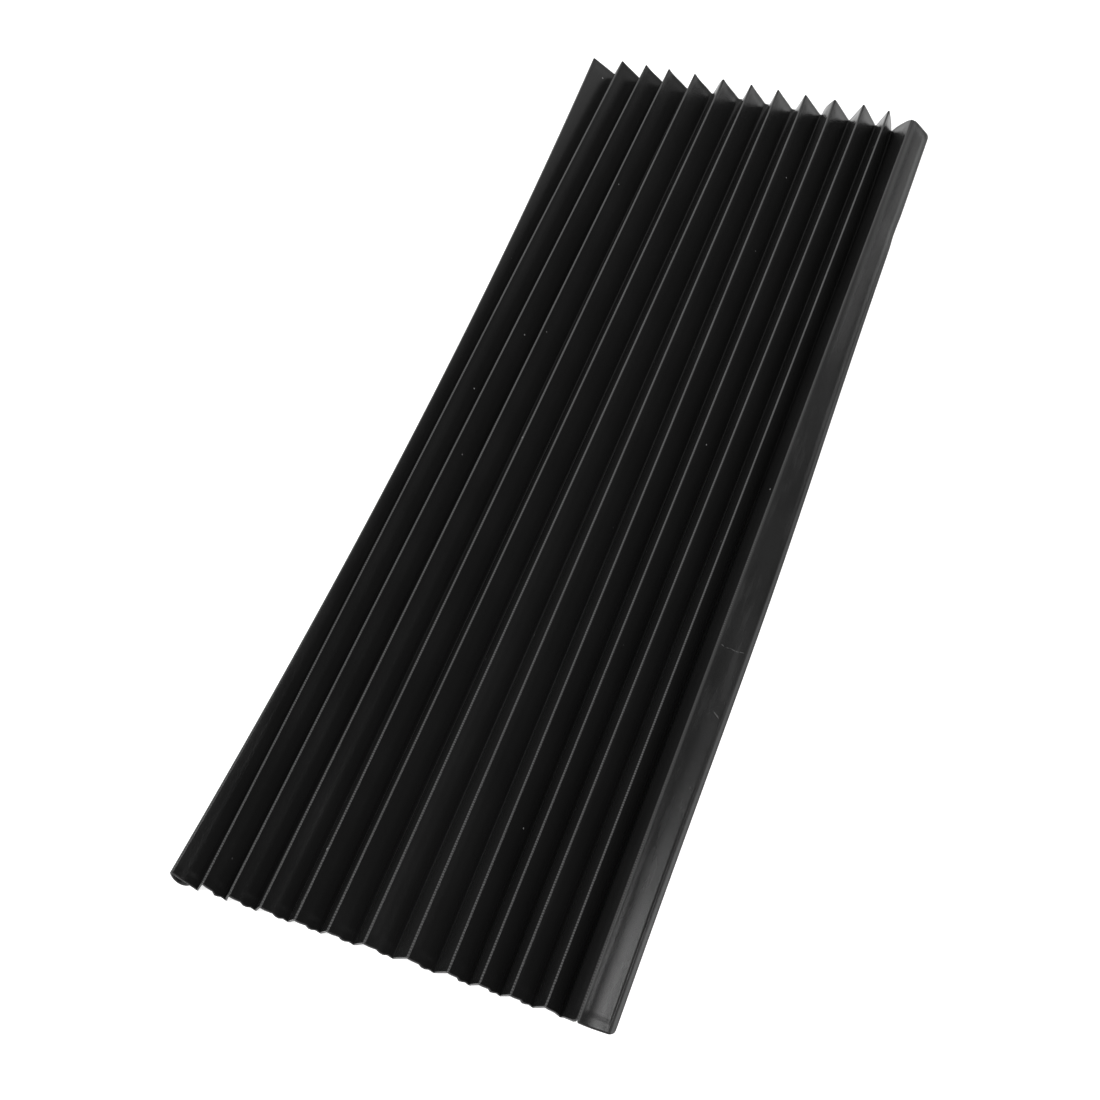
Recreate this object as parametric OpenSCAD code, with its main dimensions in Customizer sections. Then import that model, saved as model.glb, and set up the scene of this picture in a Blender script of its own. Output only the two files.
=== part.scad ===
// Flat pleated bellows way cover, lying on a table partly drawn out.
// Two coated cloths are folded together. A stiff plastic strip lies between them in every panel.
// X runs across the pleats, the way the cover draws out. Y runs along the folds. Z is up.

/* [Cover] */
// Length of the cover along its folds
cover_l = 350; // [150:10:600]
// Number of raised folds
crest_count = 13; // [3:1:28]
// Distance between neighbouring crests as the cover lies
pitch = 10.2; // [8:0.1:12]

/* [Panels] */
// Width of a panel along the cloth, between the round of one fold and the round of the next
panel_w = 9; // [8:0.1:11]
// Straight stretch of a panel beside each fold
panel_lead = 2; // [1.6:0.1:2.6]
// Angle through which the front panel, facing +X, is hollowed
front_hollow = 16; // [4:1:30]
// Angle through which the back panel, facing -X, is hollowed
back_hollow = 72; // [40:1:84]
// Radius of every fold, at the layer where the two cloths meet
fold_r = 0.4; // [0.3:0.02:0.6]

/* [Layers] */
// Thickness of the outer cloth
cloth_t = 0.22; // [0.14:0.01:0.28]
// Thickness of the lining cloth
lining_t = 0.18; // [0.12:0.01:0.24]
// Thickness of the stiffening strips
strip_t = 0.3; // [0.2:0.02:0.44]
// Distance from a fold to the long edge of the strip beside it
strip_margin = 1; // [0.8:0.1:1.5]
// Width over which the cloths close together beyond the edge of a strip
pocket_taper = 0.5; // [0.3:0.05:0.7]
// Distance from the cut end of the cloths to the end of every strip
strip_end_gap = 2; // [0.5:0.5:8]

/* [End flaps] */
// Width of the joined rim along the free edge of each flap
rim_w = 1.5; // [1:0.1:2.5]
// Radius of the left flap where it curls under the cover
curl_r = 2; // [1.4:0.1:2.4]

/* [Hidden] */
panel_count = 2 * (crest_count - 1);
last_crest = crest_count - 1;
flap_w = panel_w + rim_w;
strip_half = strip_t / 2;
strip_l = cover_l - 2 * strip_end_gap;

// Straight pieces that stand for each round stretch
crest_steps = 6;
valley_steps = 4;
front_steps = 3;
back_steps = 6;
curl_steps = 6;
// Passes in which the slopes of the panels settle
settle_passes = 16;

// Unit vector along a heading, and the unit vector to its left
function along(heading) = [cos(heading), sin(heading)];
function left_of(heading) = [-sin(heading), cos(heading)];

// Straight distance between the ends of a panel: two straight stretches and an arc between them
function panel_chord(hollow) =
    let (half = hollow / 2)
    2 * panel_lead * cos(half) + (panel_w - 2 * panel_lead) * sin(half) / (half * PI / 180);

front_chord = panel_chord(front_hollow);
back_chord = panel_chord(back_hollow);

// Way that the round of one crest and one valley takes up, for panels at slopes front and back
function fold_reach(front, back) =
    let (up = back + back_hollow / 2)
    let (down = -(front + front_hollow / 2))
    let (valley_in = -(front - front_hollow / 2))
    let (valley_out = back - back_hollow / 2)
    fold_r * ([sin(up) - sin(down), cos(down) - cos(up)]
        + [sin(valley_out) - sin(valley_in), cos(valley_in) - cos(valley_out)]);

// Slopes at which a front and a back panel span what the folds leave of one pitch
function settled_slopes(passes, taken) =
    let (span = [pitch, 0] - taken)
    let (reach = norm(span))
    let (tilt = atan2(span[1], span[0]))
    let (front = acos((front_chord ^ 2 + reach ^ 2 - back_chord ^ 2) / (2 * front_chord * reach)) - tilt)
    let (back = acos((back_chord ^ 2 + reach ^ 2 - front_chord ^ 2) / (2 * back_chord * reach)) + tilt)
    passes == 0 ? [front, back] : settled_slopes(passes - 1, fold_reach(front, back));

slopes = settled_slopes(settle_passes, [0, 0]);
// Headings along the cloth where it enters and leaves each kind of panel
front_in = -(slopes[0] + front_hollow / 2);
front_out = -(slopes[0] - front_hollow / 2);
back_in = slopes[1] - back_hollow / 2;
back_out = slopes[1] + back_hollow / 2;

// A station on the folded section holds a point, the heading there and half the gap between the cloths
function station(point, heading, gap) = [point, heading, gap];

// Half the gap at a distance along a strip pocket that starts at from and ends at to
function pocket_gap(s, from, to) =
    lookup(s, [[from - pocket_taper, 0], [from, strip_half], [to, strip_half], [to + pocket_taper, 0]]);

// Point and heading on a panel that starts at point with a heading and turns left through hollow
function panel_heading(heading, hollow, s) =
    heading + hollow * min(1, max(0, (s - panel_lead) / (panel_w - 2 * panel_lead)));
function panel_point(point, heading, hollow, s) =
    let (bend = (panel_w - 2 * panel_lead) / (hollow * PI / 180))
    let (now = panel_heading(heading, hollow, s))
    point
        + min(s, panel_lead) * along(heading)
        + bend * [sin(now) - sin(heading), cos(heading) - cos(now)]
        + max(0, s - panel_w + panel_lead) * along(now);

// Distances along a panel at which the section has a corner
function strip_marks(steps) = [
    strip_margin,
    for (i = [0:steps]) panel_lead + (panel_w - 2 * panel_lead) * i / steps,
    panel_w - strip_margin
];
function panel_marks(steps) = concat(
    [0, strip_margin - pocket_taper],
    strip_marks(steps),
    [panel_w - strip_margin + pocket_taper, panel_w]);

function panel_stations(point, heading, hollow, marks) = [
    for (s = marks) station(
        panel_point(point, heading, hollow, s),
        panel_heading(heading, hollow, s),
        pocket_gap(s, strip_margin, panel_w - strip_margin))
];

// Stations inside the round of a fold, about its centre. side is 1 over a crest and -1 in a valley
function fold_stations(centre, side, heading, leaving, steps) = [
    for (i = [1:steps - 1])
        let (now = heading + (leaving - heading) * i / steps)
        station(centre + side * fold_r * left_of(now), now, 0)
];

// Centres of the crest and valley rounds, and where the panels between them start
function crest_centre(k) = [k * pitch, 0];
function front_start(k) = crest_centre(k) + fold_r * left_of(front_in);
function valley_centre(k) =
    panel_point(front_start(k), front_in, front_hollow, panel_w) + fold_r * left_of(front_out);
function back_start(k) = valley_centre(k) - fold_r * left_of(back_in);

// Level of the table under the valleys
floor_z = valley_centre(0)[1] - fold_r - lining_t;

// The right flap slopes from the last crest until the rim of its lining meets the table
flap_reach = norm([flap_w, lining_t - fold_r]);
flap_slope = asin(-floor_z / flap_reach) - atan((lining_t - fold_r) / flap_w);
right_flap_start = crest_centre(last_crest) + fold_r * left_of(-flap_slope);
right_strip_marks = [strip_margin, flap_w - rim_w];
right_flap_marks = concat(
    [0, strip_margin - pocket_taper],
    right_strip_marks,
    [flap_w - rim_w + pocket_taper, flap_w]);
function right_flap_stations(marks) = [
    for (s = marks) station(
        right_flap_start + s * along(-flap_slope),
        -flap_slope,
        pocket_gap(s, strip_margin, flap_w - rim_w))
];

// The left flap starts at its free edge, runs along the table, curls up and stands to the first crest
curl_l = curl_r * PI / 2;
tuck_z = floor_z + cloth_t + strip_half;
stand_l = -tuck_z - curl_r;
tuck_l = flap_w - curl_l - stand_l;
curl_centre = [curl_r - fold_r, tuck_z + curl_r];
function left_flap_heading(s) = 180 - 90 * min(1, max(0, (s - tuck_l) / curl_l));
function left_flap_point(s) =
    curl_centre
        + curl_r * left_of(left_flap_heading(s))
        + max(0, tuck_l - s) * [1, 0]
        + max(0, s - tuck_l - curl_l) * [0, 1];
function left_flap_gap(s) = pocket_gap(s, rim_w, flap_w - strip_margin);

// Numbers of a list in rising order
function rising(list) = len(list) <= 1 ? list
    : let (first = list[0])
    let (rest = [for (i = [1:len(list) - 1]) list[i]])
    concat(rising([for (v = rest) if (v < first) v]), [first], rising([for (v = rest) if (v > first) v]));

curl_marks = [for (i = [0:curl_steps]) tuck_l + curl_l * i / curl_steps];
left_strip_marks = rising(concat(
    [rim_w, flap_w - strip_margin],
    [for (s = curl_marks) if (s > rim_w && s < flap_w - strip_margin) s]));
left_flap_marks = rising(concat(
    [0, rim_w - pocket_taper, flap_w - strip_margin + pocket_taper, flap_w],
    [for (s = curl_marks) if (s <= rim_w) s],
    left_strip_marks));
function left_flap_stations(marks) = [
    for (s = marks) station(left_flap_point(s), left_flap_heading(s), left_flap_gap(s))
];

// The whole folded section, from the free edge of the left flap to that of the right one
section = [
    each left_flap_stations(left_flap_marks),
    each fold_stations(crest_centre(0), 1, 90, front_in, crest_steps),
    for (k = [0:last_crest - 1]) each concat(
        panel_stations(front_start(k), front_in, front_hollow, panel_marks(front_steps)),
        fold_stations(valley_centre(k), -1, front_out, back_in, valley_steps),
        panel_stations(back_start(k), back_in, back_hollow, panel_marks(back_steps)),
        fold_stations(crest_centre(k + 1), 1, back_out, k + 1 < last_crest ? front_in : -flap_slope,
            crest_steps)),
    each right_flap_stations(right_flap_marks)
];

// Corners of a layer on one side of the section: its face at the strips, then back along its far face
function edge_points(stations, side, depth) = [
    for (one = stations) one[0] + side * (one[2] + depth) * left_of(one[1])
];
function reversed(list) = [for (i = [len(list) - 1:-1:0]) list[i]];
function layer_outline(stations, side, depth) =
    concat(edge_points(stations, side, 0), reversed(edge_points(stations, side, depth)));
function strip_outline(stations) =
    concat(edge_points(stations, 1, 0), reversed(edge_points(stations, -1, 0)));

outer_outline = layer_outline(section, 1, cloth_t);
lining_outline = layer_outline(section, -1, lining_t);

// The cover stands on the table, with the middle of its width over the origin
both_outlines = concat(outer_outline, lining_outline);
left_x = min([for (p = both_outlines) p[0]]);
right_x = max([for (p = both_outlines) p[0]]);
low_z = min([for (p = both_outlines) p[1]]);
to_origin = [-(left_x + right_x) / 2, -low_z];

function strip_name(i) = str("panel_strip_", i < 10 ? "0" : "", i);

// Carries a section outline along the folds
module along_folds(outline, length) {
    rotate([90, 0, 0])
        linear_extrude(height = length, center = true)
            polygon([for (p = outline) p + to_origin]);
}

// Face cloth: one black coated sheet, folded, with both end flaps
module outer_cloth() {
    color("#1b1b1d")
        along_folds(outer_outline, cover_l);
}

// Back cloth: the same sheet again, on the underside
module lining_cloth() {
    color("#2a2a2d")
        along_folds(lining_outline, cover_l);
}

// Stiffening strip of panel i, counted from the left. Odd panels are front panels
module panel_strip(i) {
    k = floor((i - 1) / 2);
    stations = i % 2 == 1
        ? panel_stations(front_start(k), front_in, front_hollow, strip_marks(front_steps))
        : panel_stations(back_start(k), back_in, back_hollow, strip_marks(back_steps));
    color("#84878b")
        along_folds(strip_outline(stations), strip_l);
}

// Strip of the left flap, curled with it
module left_flap_strip() {
    color("#84878b")
        along_folds(strip_outline(left_flap_stations(left_strip_marks)), strip_l);
}

// Strip of the right flap, flat
module right_flap_strip() {
    color("#84878b")
        along_folds(strip_outline(right_flap_stations(right_strip_marks)), strip_l);
}

outer_cloth();
lining_cloth();
for (i = [1:panel_count])
    panel_strip(i);
left_flap_strip();
right_flap_strip();
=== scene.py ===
# %% [markdown]
# # A bellows way cover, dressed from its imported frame
#
# The real thing is one sheet of black coated cloth, folded like an accordion over a lining sheet, with thin
# stiff strips between the two. It lies on a white table. The frame brings the regular pleats of the
# construction. This lesson lays the same two cloths and the same strips as they really lie: pleats that
# stray a little, a scalloped near end, valleys that open at the far end, rubbed crests and a flap that was
# handled.

# %% Load the frame
import math

import bpy
import numpy as np
from mathutils import Matrix, Vector


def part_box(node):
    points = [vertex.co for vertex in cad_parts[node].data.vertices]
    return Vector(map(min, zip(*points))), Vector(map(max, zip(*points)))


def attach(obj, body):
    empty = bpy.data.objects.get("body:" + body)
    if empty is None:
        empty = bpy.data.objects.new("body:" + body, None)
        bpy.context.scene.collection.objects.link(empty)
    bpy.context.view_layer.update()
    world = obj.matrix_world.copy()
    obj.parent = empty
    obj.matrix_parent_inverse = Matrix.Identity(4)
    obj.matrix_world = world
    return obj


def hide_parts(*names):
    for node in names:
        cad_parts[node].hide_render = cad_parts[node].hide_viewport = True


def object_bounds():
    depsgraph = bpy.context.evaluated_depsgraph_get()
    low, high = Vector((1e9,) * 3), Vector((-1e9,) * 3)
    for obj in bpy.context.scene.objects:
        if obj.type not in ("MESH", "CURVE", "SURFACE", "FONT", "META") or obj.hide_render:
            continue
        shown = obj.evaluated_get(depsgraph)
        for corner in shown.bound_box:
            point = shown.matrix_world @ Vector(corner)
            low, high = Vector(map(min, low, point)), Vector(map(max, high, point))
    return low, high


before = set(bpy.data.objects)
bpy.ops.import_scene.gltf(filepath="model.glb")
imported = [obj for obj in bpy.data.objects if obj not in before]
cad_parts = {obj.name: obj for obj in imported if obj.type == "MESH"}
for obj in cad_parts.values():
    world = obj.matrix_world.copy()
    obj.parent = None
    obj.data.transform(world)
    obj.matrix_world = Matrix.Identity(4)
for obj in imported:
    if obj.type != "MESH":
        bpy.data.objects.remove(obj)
cad_low, cad_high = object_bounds()
scene = bpy.context.scene
scene.view_settings.view_transform = "Standard"
MM = 0.001
print("frame:", len(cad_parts), "nodes, box", [round(x / MM, 1) for x in cad_high - cad_low], "mm")

# %% [markdown]
# ## Sizes from the frame
#
# The pleat count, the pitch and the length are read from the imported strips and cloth. They could be typed
# in again, but this way the dressed cover always has the folds that the construction has. All lengths below
# are in millimetres until a mesh is made.

# %% Read the driving sizes
FLAP_STANDOFF = 0.32
strip_nodes = sorted(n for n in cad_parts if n.startswith("panel_strip_"))
pleat_count = len(strip_nodes) // 2
crest_count = pleat_count + 1


def middle_x(node):
    """Middle of a node's box across the cover, in mm."""
    low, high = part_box(node)
    return (low.x + high.x) / 2 / MM


pitch = middle_x(strip_nodes[2]) - middle_x(strip_nodes[0])
near_y = cad_low.y / MM
far_y = cad_high.y / MM
cover_l = far_y - near_y
first_crest = cad_low.x / MM + FLAP_STANDOFF
print("pleats:", pleat_count, "pitch", round(pitch, 2), "mm, length", round(cover_l, 1), "mm")

# %% [markdown]
# ## Camera
#
# The picture was taken from the right of the near end, looking down. An orbit is the clearest way to write
# that: an azimuth round the object, an elevation above the table, a distance from a point that the lens
# aims at, and a small roll of the camera about its own axis.

# %% Place the camera
VIEW_AZIMUTH = math.radians(27.06)
VIEW_ELEVATION = math.radians(56.03)
VIEW_ROLL = math.radians(-7.63)
VIEW_DISTANCE = 524.6
VIEW_AIM = Vector((-3.81, -37.47, 0.4))
SENSOR = 36.0
LENS = 54.97

camera_back = Vector((
    math.sin(VIEW_AZIMUTH) * math.cos(VIEW_ELEVATION),
    -math.cos(VIEW_AZIMUTH) * math.cos(VIEW_ELEVATION),
    math.sin(VIEW_ELEVATION),
))
level_right = Vector((math.cos(VIEW_AZIMUTH), math.sin(VIEW_AZIMUTH), 0))
level_up = camera_back.cross(level_right)
camera_right = math.cos(VIEW_ROLL) * level_right + math.sin(VIEW_ROLL) * level_up
camera_up = camera_back.cross(camera_right)
camera_place = (VIEW_AIM + VIEW_DISTANCE * camera_back) * MM

camera_data = bpy.data.cameras.new("camera")
camera_data.sensor_width = SENSOR
camera_data.lens = LENS
camera = bpy.data.objects.new("camera", camera_data)
camera_axes = Matrix((camera_right, camera_up, camera_back)).transposed()
camera.matrix_world = Matrix.Translation(camera_place) @ camera_axes.to_4x4()
scene.collection.objects.link(camera)
scene.camera = camera
print("camera at", [round(x, 3) for x in camera_place], "m")

# %% [markdown]
# ## How the pleats stray
#
# A folded cloth never lies in perfect rows. Each crest drifts sideways by a millimetre or two, differently
# at its two ends, and the first one is drawn in at the middle. A list of places could say this, but a few
# slow waves over the pleat number say it better: they keep neighbours alike, as real cloth does.

# %% Rows along the cover and the drift of the crests
ROW_COUNT = 84
END_CROWDING = 0.9
FAR_WAVES = ((4.8, 5.48, -1.48), (1.73, 37.06, 4.26), (4.83, 5.82, 0.92))
NEAR_WAVES = ((1.8, 8.08, 6.43), (0.77, 3.75, 6.85), (1.44, 23.86, 2.74))
FIRST_CREST_BOW = 4.97


def row_places():
    """Rows from the near end to the far end: an even step minus a sine of one period, which crowds both
    ends."""
    even = np.linspace(0, 1, ROW_COUNT)
    return near_y + cover_l * (even - END_CROWDING * np.sin(2 * np.pi * even) / (2 * np.pi))


def waves(number, terms):
    """Sum over the terms of amplitude times the sine of a full turn per wavelength, counted from the
    phase."""
    return sum(size * np.sin(2 * np.pi * (number - phase) / length) for size, length, phase in terms)


rows = row_places()
along = (rows - near_y) / cover_l
from_near = rows - near_y
from_far = far_y - rows
crest = np.arange(crest_count)[:, None]
drift = waves(crest, FAR_WAVES) * along + waves(crest, NEAR_WAVES) * (1 - along)
bow = np.where(crest == 0, FIRST_CREST_BOW * (1 - (2 * along - 1) ** 2), 0)
crest_x = first_crest + pitch * crest + drift + bow
print("crests:", crest_count, "largest drift", round(float(np.abs(drift).max()), 2), "mm")

# %% [markdown]
# ## The section of one pleat
#
# Seen from its end, a pleat is a sharp crest, a front panel that falls to the right, a narrow valley floor
# between two soft folds, and a steep back panel. The first pleats lean to the left and arch off the table
# at mid-length, the crests sink at both sides of the far end, and the floors close towards the near end and
# open at the far end. Each of these is a bell over the pleat number or a fade along the cover, so it dies
# out softly. Straight stretches between the folds are worked out first, and the folds are rounded after.

# %% Crest heights
CREST_Z = 8.5
FIRST_CREST_DROP = 1.8
FIRST_DROP_CRESTS = 1.0
LAST_CREST_DROP = 1.3
LAST_DROP_CRESTS = 0.5
CREST_RISE = 0.7
RISE_FROM_LAST = 2
RISE_CRESTS = 1.3
CREST_REACH = 60.0


def bell(distance, width):
    """e to the power of minus the square of distance over width: 1 at nought, falling to both sides."""
    return np.exp(-((distance / width) ** 2))


def fade(distance, reach):
    """e to the power of minus distance over reach: 1 at nought, dying out beyond."""
    return np.exp(-distance / reach)


def crest_heights():
    """Height of each crest on each row: level, plus a bell of crests that rise, less a fade from the first
    crest and one from the last. All three fade out from the far end."""
    to_last = crest_count - 1 - crest
    first_drop = FIRST_CREST_DROP * fade(crest, FIRST_DROP_CRESTS)
    last_drop = LAST_CREST_DROP * fade(to_last, LAST_DROP_CRESTS)
    rise = CREST_RISE * bell(to_last - RISE_FROM_LAST, RISE_CRESTS)
    return CREST_Z + (rise - (first_drop + last_drop)) * fade(from_far, CREST_REACH)


crest_z = crest_heights()
print("crest heights:", round(float(crest_z.min()), 2), "to", round(float(crest_z.max()), 2), "mm")

# %% Front folds of the valleys
VALLEY_Z = 0.5
VALLEY_LIFT = 2.9
LIFT_PLEATS = 0.8
FOLD_SHARE = 0.52
LEAN = 0.168
LEAN_PLEATS = 3.6
FAR_LEAN = 0.14
FAR_LEAN_PLEAT = 2
FAR_LEAN_PLEATS = 1.3
FAR_LEAN_REACH = 50.0
NEAR_LEAN = 0.08
NEAR_LEAN_PLEATS = 2.5
NEAR_LEAN_REACH = 60.0
LAST_FOLD_SHARE = 0.34
LAST_FOLD_CLOSING = 0.14
LAST_FOLD_REACH = 30.0
pleat = np.arange(pleat_count)[:, None]


def fold_shares():
    """Where each front panel ends, as a share of the way to the next crest: one share for all, plus a bell
    for the first pleats that lean, with a second bell added at the far end and a third taken off at the
    near end. The last pleat has its own share, which gets smaller towards the far end."""
    lean = LEAN * bell(pleat, LEAN_PLEATS)
    lean = lean + FAR_LEAN * bell(pleat - FAR_LEAN_PLEAT, FAR_LEAN_PLEATS) * fade(from_far, FAR_LEAN_REACH)
    lean = lean - NEAR_LEAN * bell(pleat, NEAR_LEAN_PLEATS) * fade(from_near, NEAR_LEAN_REACH)
    last_share = LAST_FOLD_SHARE - LAST_FOLD_CLOSING * fade(from_far, LAST_FOLD_REACH)
    return np.where(pleat == pleat_count - 1, last_share, FOLD_SHARE + lean)


front_fold_x = crest_x[:-1] + np.diff(crest_x, axis=0) * fold_shares()
valley_z = VALLEY_Z + VALLEY_LIFT * bell(pleat, LIFT_PLEATS) * np.sin(np.pi * along)
print("valleys:", pleat_count, "heights", VALLEY_Z, "to", round(float(valley_z.max()), 2), "mm")

# %% Back folds of the valleys
FLOOR_WIDTH = 0.5
FLOOR_CLOSING = 0.35
FLOOR_OPENING = 1.4
OPENING_REACH = 10.0
OPEN_TO_PLEAT = 8.5
OPEN_FADE = 2.0
FLOOR_SHARE_MAX = 0.6


def floor_widths():
    """Width of each valley floor: one width for all, less a closing that grows towards the near end, plus
    an opening that fades away from the far end. The pleats that open, all but the last ones, close later
    too."""
    opens = np.clip((OPEN_TO_PLEAT - pleat) / OPEN_FADE, 0, 1)
    width = FLOOR_WIDTH - FLOOR_CLOSING * (1 - opens * along) * (1 - along)
    return width + FLOOR_OPENING * opens * fade(from_far, OPENING_REACH)


room = FLOOR_SHARE_MAX * (crest_x[1:] - front_fold_x)
floor = np.minimum(floor_widths(), room)
back_fold_x = front_fold_x + floor
print("valley floors:", round(float(floor.min()), 2), "to", round(float(floor.max()), 2), "mm wide")

# %% [markdown]
# ## Panels as curves
#
# A real panel is stiff, so it is nearly straight: slack and a little hollow on the left of the cover,
# lightly crowned on the right. Every stretch is a small formula over its own share u, from 0 at its left
# fold to 1 at its right fold. All pleats and all rows are computed together as arrays of the shape (pleat,
# row, sample), which is shorter and quicker than going through them one by one.

# %% Work out the panels
SAMPLE_STEP = 0.15
FRONT_W = 9.3
BACK_W = 8.4
FRONT_SAMPLES = round(FRONT_W / SAMPLE_STEP)
FLOOR_SAMPLES = 10
BACK_SAMPLES = round(BACK_W / SAMPLE_STEP)
FRONT_HOLLOW = 0.55
HOLLOW_PLEATS = 3
FLAT_PLEATS = 1.5
FLAT_REACH = 90.0
LAST_PANEL_CROWN = 0.3
BACK_BULGE = 0.8
BULGE_EVERY = 4
BULGE_REACH = 14.0


def shares(count):
    """Even shares from 0 up to, but not including, 1."""
    return np.arange(count) / count


def between(start, end, share):
    """Start plus the share of the way to the end, for every pleat, row and sample."""
    return start[:, :, None] + (end - start)[:, :, None] * share


def front_panels():
    """Straight line from crest to valley fold, hollowed by u times the cube of 1-u. Towards the right the
    hollow turns into a low crown, and at the far end of the first pleats it goes flat."""
    u = shares(FRONT_SAMPLES)
    to_right = np.clip((pleat - HOLLOW_PLEATS) / (pleat_count - 1 - HOLLOW_PLEATS), 0, 1)
    hollow = FRONT_HOLLOW - (FRONT_HOLLOW + LAST_PANEL_CROWN) * to_right
    hollow = hollow * (1 - bell(pleat, FLAT_PLEATS) * fade(from_far, FLAT_REACH))
    height = 1 - u - hollow[:, :, None] * u * (1 - u) ** 3
    return np.stack([between(crest_x[:-1], front_fold_x, u), between(valley_z, crest_z[:-1], height)], -1)


def valley_floors():
    """Level line between the two valley folds."""
    u = shares(FLOOR_SAMPLES)
    return np.stack([between(front_fold_x, back_fold_x, u), between(valley_z, valley_z, u)], -1)


def back_panels():
    """Straight line from the valley to the next crest. Every fourth one swells to the left by a half sine,
    which dies out as a bell from the far end."""
    u = shares(BACK_SAMPLES)
    swell = np.where(pleat % BULGE_EVERY == 0, BACK_BULGE, 0) * bell(from_far, math.sqrt(2) * BULGE_REACH)
    x = between(back_fold_x, crest_x[1:], u) - swell[:, :, None] * np.sin(np.pi * u)
    return np.stack([x, between(valley_z, crest_z[1:], u)], -1)


pleats = np.concatenate([front_panels(), valley_floors(), back_panels()], axis=2)
PLEAT_SAMPLES = pleats.shape[2]
print("pleats:", pleat_count, "of", PLEAT_SAMPLES, "samples on", ROW_COUNT, "rows")

# %% [markdown]
# ## The two flaps
#
# The left flap is tucked under: it goes down the side, round the bottom edge and back in below the cover.
# One cubic curve makes that turn with four points. The right flap lies open. On the real cover it has been
# bent by hand, so it sags and waves a little, its strip presses a groove beside the rim, and a dent breaks
# its edge.

# %% Left flap
LEFT_FLAP_W = 14.0
LEFT_FLAP_SAMPLES = round(LEFT_FLAP_W / SAMPLE_STEP)
LEFT_TIP = (3.8, 2.3)
LEFT_UNDER = (-0.2, -2.3)
LEFT_SIDE = (-1.4, 3.0)


def left_flap():
    """One cubic curve from the tip that is tucked under, round the bottom edge and up to the first crest.
    Its points are measured across from that crest and up from the table."""
    u = shares(LEFT_FLAP_SAMPLES)
    tip = (1 - u) ** 3
    under = 3 * u * (1 - u) ** 2
    side = 3 * u ** 2 * (1 - u)
    top = u ** 3
    x = crest_x[0][:, None] + LEFT_TIP[0] * tip + LEFT_UNDER[0] * under + LEFT_SIDE[0] * side
    z = LEFT_TIP[1] * tip + LEFT_UNDER[1] * under + LEFT_SIDE[1] * side + crest_z[0][:, None] * top
    return np.stack([x, z], -1)


left_part = left_flap()
print("left flap:", left_part.shape[1], "samples, lowest", round(float(left_part[..., 1].min()), 2), "mm")

# %% Right flap
RIGHT_FLAP_W = 10.6
RIGHT_FLAP_SAMPLES = round(RIGHT_FLAP_W / SAMPLE_STEP)
REACH_FAR = 6.55
REACH_NEAR = 9.2
EDGE_BOW = 1.2
EDGE_BOW_PLACE = 0.4
EDGE_BOW_WIDTH = 0.24
DENT_DEPTH = 0.28
DENT_Y = 124.0
DENT_WIDTH = 5.0
EDGE_Z_FAR = 0.5
EDGE_Z_NEAR = 2.0
SWELL = 0.16
SWELL_TURNS = 2.3
SWELL_START = 0.1
TWIST = 0.05
TWIST_RATE = 3.4
WAVE_SLANT = 0.7
FLAP_SAG = 0.5
SAG_LOSS = 1.6
GROOVE_BACK = 2.2
GROOVE_WIDTH = 0.35
GROOVE_DEPTH = 0.14
GROOVE_TO = -40.0
GROOVE_FADE = 90.0


def flap_reach():
    """How far the free edge lies from the last crest: a straight taper, plus a bell where the edge bows
    out, less a narrow bell for the dent."""
    reach = REACH_FAR + (REACH_NEAR - REACH_FAR) * (1 - along)
    reach = reach + EDGE_BOW * bell(along - EDGE_BOW_PLACE, EDGE_BOW_WIDTH)
    return reach - DENT_DEPTH * bell(rows - DENT_Y, DENT_WIDTH)


def flap_wave(u):
    """A swell, sine along times half a sine across, less a twist, full sine across times cosine along."""
    swell = SWELL * np.sin(2 * np.pi * (along * SWELL_TURNS + SWELL_START))[:, None] * np.sin(np.pi * u)
    return swell - TWIST * np.sin(2 * np.pi * u) * np.cos(TWIST_RATE * along)[:, None]


def right_flap():
    """Line from the last crest to the free edge, which rises off the table at the near end. It sags by
    u(1-u) towards the near end, the wave moves it on a slant, and a bell-shaped groove beside the rim fades
    in."""
    u = np.linspace(0, 1, RIGHT_FLAP_SAMPLES)
    reach = flap_reach()
    edge_z = EDGE_Z_FAR + (EDGE_Z_NEAR - EDGE_Z_FAR) * (1 - along) ** 2
    wave = flap_wave(u) * WAVE_SLANT
    sag = FLAP_SAG * np.clip(1 - SAG_LOSS * along, 0, 1)[:, None] * u * (1 - u)
    x = crest_x[-1][:, None] + reach[:, None] * u + wave
    z = crest_z[-1][:, None] + (edge_z - crest_z[-1])[:, None] * (u + sag) + wave
    to_edge = np.hypot(reach, crest_z[-1] - edge_z)[:, None] * (1 - u)
    groove = GROOVE_DEPTH * bell(to_edge - GROOVE_BACK, GROOVE_WIDTH)
    groove = groove * np.clip((GROOVE_TO - rows) / GROOVE_FADE, 0, 1)[:, None]
    return np.stack([x, z - groove], -1)


right_part = right_flap()
print("right flap:", right_part.shape[1], "samples, to x", round(float(right_part[..., 0].max()), 2), "mm")

# %% Put the section together
section = np.concatenate([left_part, *pleats, right_part], axis=1)
crest_column = LEFT_FLAP_SAMPLES + PLEAT_SAMPLES * np.arange(crest_count)
front_fold_column = crest_column[:-1] + FRONT_SAMPLES
back_fold_column = front_fold_column + FLOOR_SAMPLES
print("section:", section.shape[1], "samples on", section.shape[0], "rows")

# %% [markdown]
# ## Rounding the folds
#
# Cloth can't fold to a point. A bevel could round the mesh afterwards, but the layers need the round shape
# first. So around each fold the samples are replaced by a round curve that leaves both panels in their own
# direction. Its handles have the length that makes a cubic curve follow a circle, four thirds of the radius
# times the tangent of a quarter of the turn.

# %% Round every fold
CREST_SAMPLES = 2
FIRST_CREST_SAMPLES = 3
VALLEY_SAMPLES = 3
STRAIGHTEST = 0.9999


def unit(vectors):
    """Vectors divided by their own length."""
    return vectors / np.linalg.norm(vectors, axis=-1, keepdims=True)


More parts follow.
